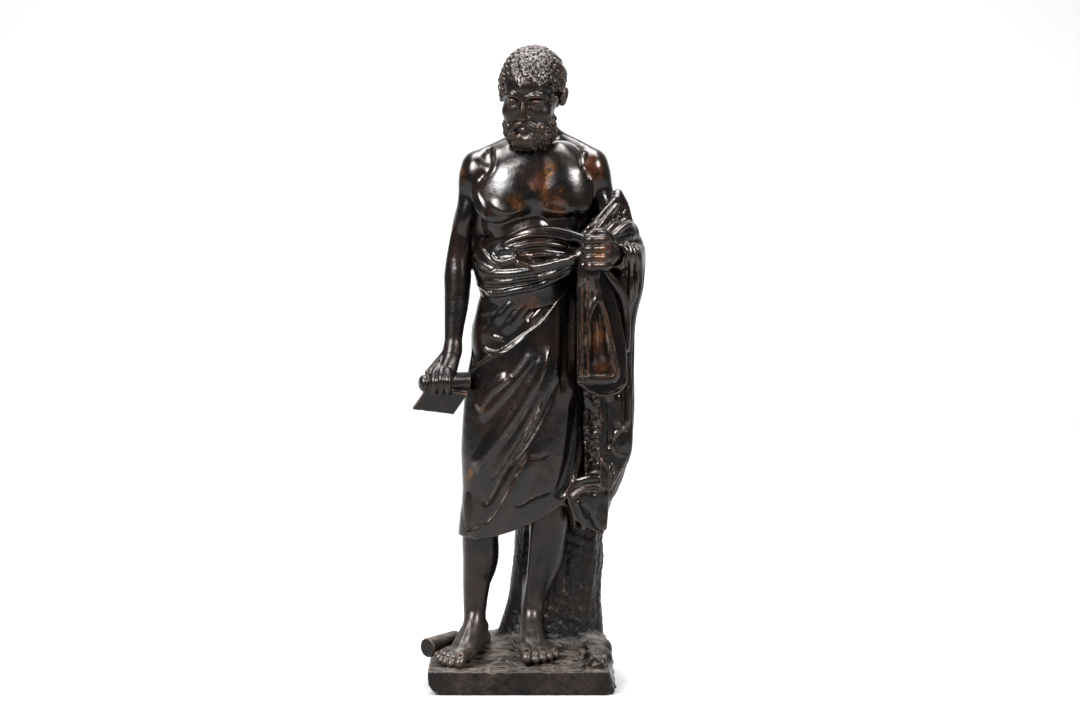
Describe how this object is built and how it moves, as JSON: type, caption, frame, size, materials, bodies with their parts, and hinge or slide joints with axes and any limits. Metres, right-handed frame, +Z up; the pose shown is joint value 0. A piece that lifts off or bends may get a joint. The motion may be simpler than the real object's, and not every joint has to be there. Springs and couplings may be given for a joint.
{
  "type": "bronze figure statuette",
  "caption": "Small cast bronze of a standing bearded Roman in a mantle, a scroll in the lowered hand and a tree stump behind, on an oblong ground.",
  "frame": {"origin": "centre of the flat underside of the ground under the feet", "axes": "+Z up, the figure faces -Y, +X to the viewer's right, which is the figure's left"},
  "size_m": [0.1082, 0.0689, 0.3004],
  "materials": {
    "bronze": "dark brown-black patina, glossy, rubbed to reddish brown on the high places"
  },
  "bodies": {
    "root": {"bronze_figure": "bronze"}
  },
  "joints": []
}
